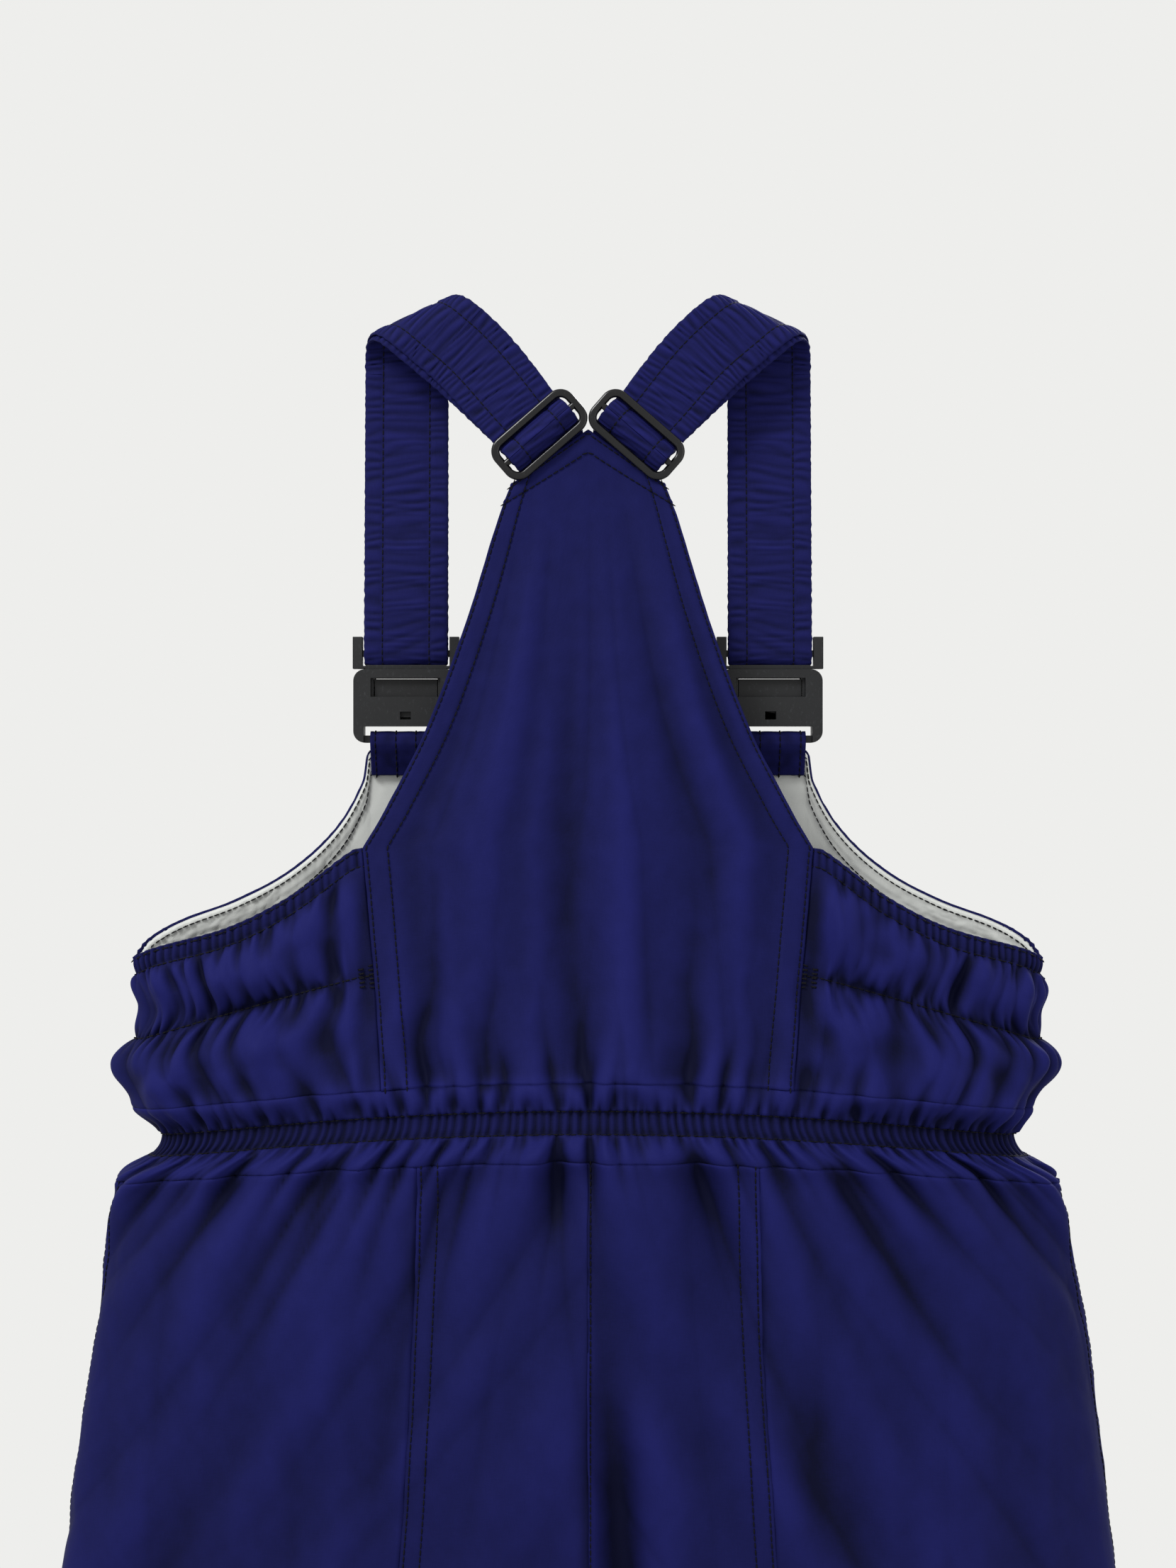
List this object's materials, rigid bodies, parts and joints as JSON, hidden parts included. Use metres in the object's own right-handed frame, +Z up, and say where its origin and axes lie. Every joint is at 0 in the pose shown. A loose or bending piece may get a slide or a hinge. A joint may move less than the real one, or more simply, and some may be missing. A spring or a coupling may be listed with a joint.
{
  "type": "bib ski pants",
  "caption": "Bib ski pants hanging by elastic shoulder straps, with release buckles, adjuster rings, gathered waist, front zip and inner snow gaiters.",
  "frame": {"origin": "midway between the undersides of the two strap crests, where a bar or hanger carries the straps", "axes": "+Z up, +Y towards the wearer's front, +X towards the wearer's right hand"},
  "size_m": [0.457, 0.1305, 1.3775],
  "materials": {
    "shell_cloth": "plain-woven nylon, slight sheen",
    "strap_cloth": "shirred nylon over elastic",
    "lining_cloth": "matt taffeta",
    "elastic_web": "knitted elastic",
    "moulded_plastic": "fine-textured moulding",
    "gloss_plastic": "polished moulding",
    "zip_tape_cloth": "woven tape with nylon coil",
    "zip_metal": "painted die casting"
  },
  "bodies": {
    "garment": {"back_yoke_panel": "shell_cloth", "back_waistband": "shell_cloth", "side_panel_L": "shell_cloth", "side_panel_R": "shell_cloth", "front_bib_L": "shell_cloth", "front_bib_R": "shell_cloth", "front_waistband_L": "shell_cloth", "front_waistband_R": "shell_cloth", "back_leg_inner_L": "shell_cloth", "back_leg_inner_R": "shell_cloth", "back_leg_outer_L": "shell_cloth", "back_leg_outer_R": "shell_cloth", "front_leg_L": "shell_cloth", "front_leg_R": "shell_cloth", "gaiter_L": "shell_cloth", "gaiter_R": "shell_cloth", "strap_front_L": "strap_cloth", "strap_front_R": "strap_cloth", "strap_crest_outer_L": "strap_cloth", "strap_crest_outer_R": "strap_cloth", "strap_crest_inner_L": "strap_cloth", "strap_crest_inner_R": "strap_cloth", "strap_back_running_L": "strap_cloth", "strap_back_running_R": "strap_cloth", "strap_back_return_L": "strap_cloth", "strap_back_return_R": "strap_cloth", "buckle_tab_L": "strap_cloth", "buckle_tab_R": "strap_cloth", "front_lining_L": "lining_cloth", "front_lining_R": "lining_cloth", "leg_lining_L": "lining_cloth", "leg_lining_R": "lining_cloth", "waist_elastic": "elastic_web", "armhole_elastic_L": "elastic_web", "armhole_elastic_R": "elastic_web", "gaiter_elastic_L": "elastic_web", "gaiter_elastic_R": "elastic_web", "buckle_housing_L": "moulded_plastic", "buckle_housing_R": "moulded_plastic", "zip_tape_L": "zip_tape_cloth", "zip_tape_R": "zip_tape_cloth", "zip_coil_L": "zip_tape_cloth", "zip_coil_R": "zip_tape_cloth", "zip_top_stop_L": "zip_metal", "zip_top_stop_R": "zip_metal", "zip_bottom_stop": "zip_metal"},
    "tongue_L": {"buckle_tongue_L": "moulded_plastic"},
    "tongue_R": {"buckle_tongue_R": "moulded_plastic"},
    "latch_L": {"release_latch_L": "moulded_plastic"},
    "latch_R": {"release_latch_R": "moulded_plastic"},
    "ring_L": {"tri_glide_L": "gloss_plastic"},
    "ring_R": {"tri_glide_R": "gloss_plastic"},
    "slider": {"zip_slider": "zip_metal"},
    "pull": {"zip_pull": "zip_metal"}
  },
  "joints": [
    {"name": "tongue_slide_L", "type": "slide", "parent": "garment", "child": "tongue_L", "axis": [0, 0, 1], "range_m": [0, 0.03], "deforming": ["strap_front_L", "release_latch_L"]},
    {"name": "latch_press_L", "type": "hinge", "parent": "tongue_L", "child": "latch_L", "pos_m": [-0.0795, 0.006, -0.1677], "axis": [1, 0, 0], "range_deg": [0, 8], "stiffness_Nm_per_rad": 0.12},
    {"name": "ring_slide_L", "type": "slide", "parent": "garment", "child": "ring_L", "axis": [-0.6561, 0, 0.7547], "range_m": [0, 0.03], "deforming": ["strap_back_running_L", "strap_back_return_L"]},
    {"name": "tongue_slide_R", "type": "slide", "parent": "garment", "child": "tongue_R", "axis": [0, 0, 1], "range_m": [0, 0.03], "deforming": ["strap_front_R", "release_latch_R"]},
    {"name": "latch_press_R", "type": "hinge", "parent": "tongue_R", "child": "latch_R", "pos_m": [0.0795, 0.006, -0.1677], "axis": [1, 0, 0], "range_deg": [0, 8], "stiffness_Nm_per_rad": 0.12},
    {"name": "ring_slide_R", "type": "slide", "parent": "garment", "child": "ring_R", "axis": [0.6561, 0, 0.7547], "range_m": [0, 0.03], "deforming": ["strap_back_running_R", "strap_back_return_R"]},
    {"name": "zip_slide", "type": "slide", "parent": "garment", "child": "slider", "axis": [0, 0.1402, -0.9901], "range_m": [0, 0.298]},
    {"name": "pull_swing", "type": "hinge", "parent": "slider", "child": "pull", "pos_m": [0, 0.02027, -0.19337], "axis": [1, 0, 0], "range_deg": [0, 160]}
  ]
}
